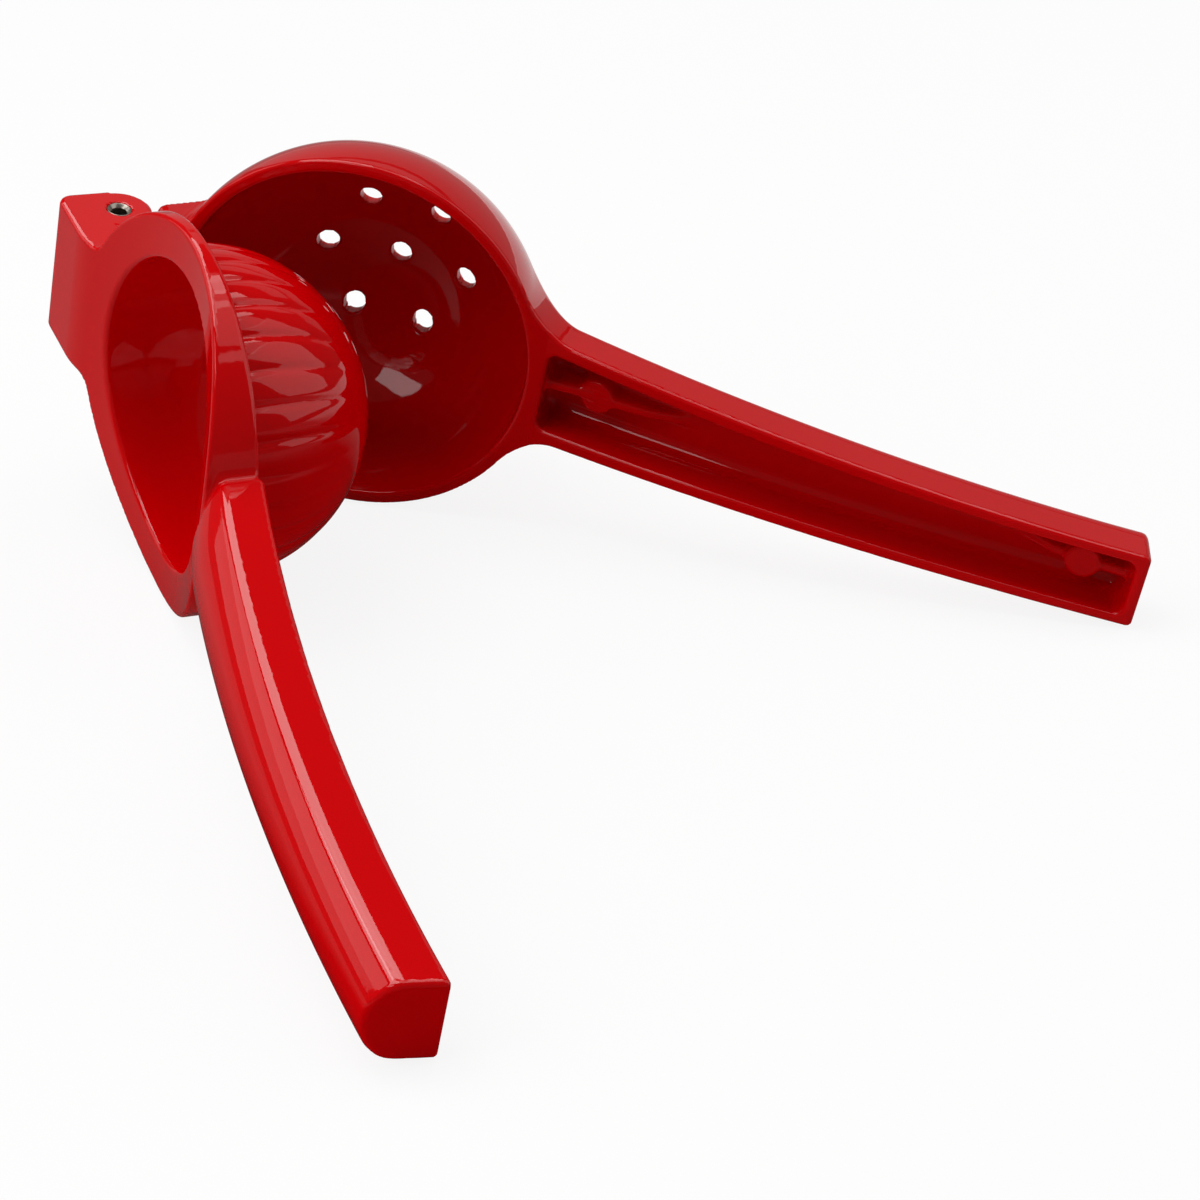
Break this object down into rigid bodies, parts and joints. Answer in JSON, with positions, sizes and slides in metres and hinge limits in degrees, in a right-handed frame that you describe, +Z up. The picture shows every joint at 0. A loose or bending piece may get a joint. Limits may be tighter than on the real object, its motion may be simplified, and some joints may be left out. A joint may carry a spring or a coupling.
{
  "type": "hinged lemon squeezer",
  "caption": "Hand press that squeezes half a lemon between a perforated bowl and a fluted dome, on two long hinged handles.",
  "frame": {"origin": "centre of the footprint, on the table the open squeezer lies on", "axes": "+Z up from the table; +X along the bowl's arm, from the hinge to its handle, seen from above; the press arm swings open towards -Y"},
  "size_m": [0.2166, 0.2165, 0.0748],
  "materials": {
    "bowl_enamel": "gloss red enamel on cast aluminium",
    "press_enamel": "gloss red enamel on cast aluminium",
    "pin_steel": "turned steel, bright chamfers"
  },
  "bodies": {
    "bowl": {"bowl_arm": "bowl_enamel"},
    "press": {"press_arm": "press_enamel", "hinge_pin": "pin_steel"}
  },
  "joints": [
    {"name": "hinge", "type": "hinge", "parent": "bowl", "child": "press", "pos_m": [-0.09486, 0.06998, 0.0459], "axis": [-0.179, 0.1005, -0.9787], "range_deg": [-51.6, 118.4]}
  ]
}
